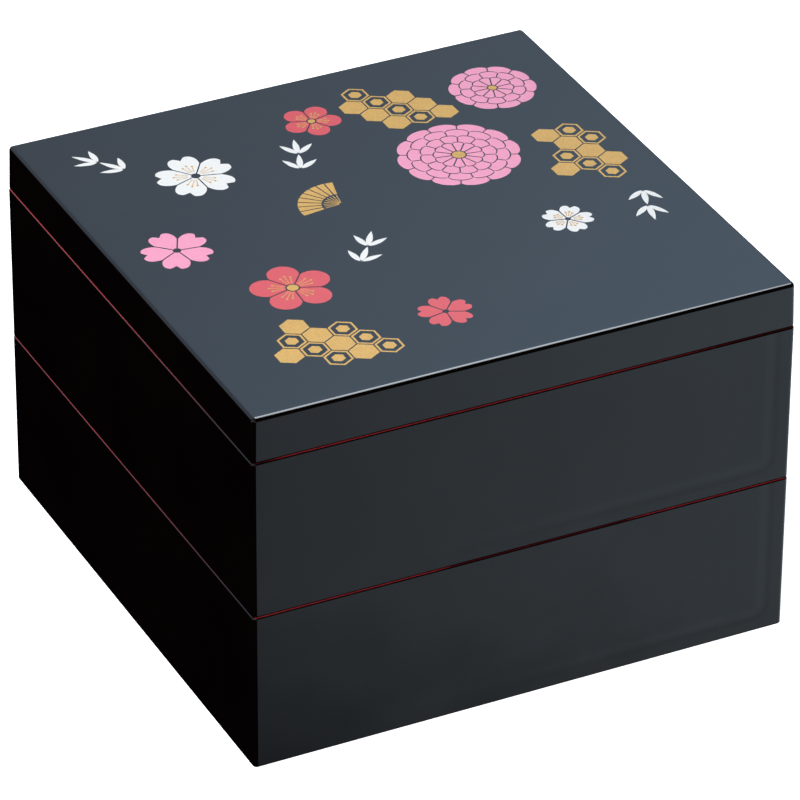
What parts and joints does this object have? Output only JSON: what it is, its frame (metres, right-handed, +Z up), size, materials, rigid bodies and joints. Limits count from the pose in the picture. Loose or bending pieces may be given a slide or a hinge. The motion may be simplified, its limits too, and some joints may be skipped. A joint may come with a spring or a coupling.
{
  "type": "two-tier food box",
  "caption": "Square stacking food box: a flat lid over equal tiers with stepped rims, each holding crossed dividers and a soft inner lid.",
  "frame": {"origin": "under the middle of the lower tier, on the plane that the box stands on", "axes": "+Z up through the stack, +X and +Y along the sides"},
  "size_m": [0.18, 0.18, 0.122],
  "materials": {
    "black_lacquer": "glossy black urethane lacquer",
    "red_lacquer": "glossy red urethane lacquer on the rims and insides",
    "inner_lid": "milky soft polyethylene, satin",
    "divider": "black polypropylene, fine satin",
    "gold_ink": "gold screen print with a fine grain",
    "pink_ink": "pink screen print",
    "red_ink": "coral red screen print",
    "white_ink": "white screen print"
  },
  "bodies": {
    "lower_tier": {"lower_tier": "black_lacquer"},
    "lower_long_divider": {"lower_long_divider": "divider"},
    "lower_cross_divider": {"lower_cross_divider": "divider"},
    "lower_inner_lid": {"lower_inner_lid": "inner_lid"},
    "upper_tier": {"upper_tier": "black_lacquer"},
    "upper_long_divider": {"upper_long_divider": "divider"},
    "upper_cross_divider": {"upper_cross_divider": "divider"},
    "upper_inner_lid": {"upper_inner_lid": "inner_lid"},
    "lid": {"lid": "black_lacquer"}
  },
  "joints": [
    {"name": "lower_long_divider_lift", "type": "slide", "parent": "lower_tier", "child": "lower_long_divider", "axis": [0, 0, 1], "range_m": [0, 0.06]},
    {"name": "lower_cross_divider_lift", "type": "slide", "parent": "lower_long_divider", "child": "lower_cross_divider", "axis": [0, 0, 1], "range_m": [0, 0.06]},
    {"name": "lower_inner_lid_lift", "type": "slide", "parent": "lower_cross_divider", "child": "lower_inner_lid", "axis": [0, 0, 1], "range_m": [0, 0.05]},
    {"name": "upper_tier_lift", "type": "slide", "parent": "lower_inner_lid", "child": "upper_tier", "axis": [0, 0, 1], "range_m": [0, 0.07]},
    {"name": "upper_long_divider_lift", "type": "slide", "parent": "upper_tier", "child": "upper_long_divider", "axis": [0, 0, 1], "range_m": [0, 0.06]},
    {"name": "upper_cross_divider_lift", "type": "slide", "parent": "upper_long_divider", "child": "upper_cross_divider", "axis": [0, 0, 1], "range_m": [0, 0.06]},
    {"name": "upper_inner_lid_lift", "type": "slide", "parent": "upper_cross_divider", "child": "upper_inner_lid", "axis": [0, 0, 1], "range_m": [0, 0.05]},
    {"name": "lid_lift", "type": "slide", "parent": "upper_inner_lid", "child": "lid", "axis": [0, 0, 1], "range_m": [0, 0.07]}
  ]
}
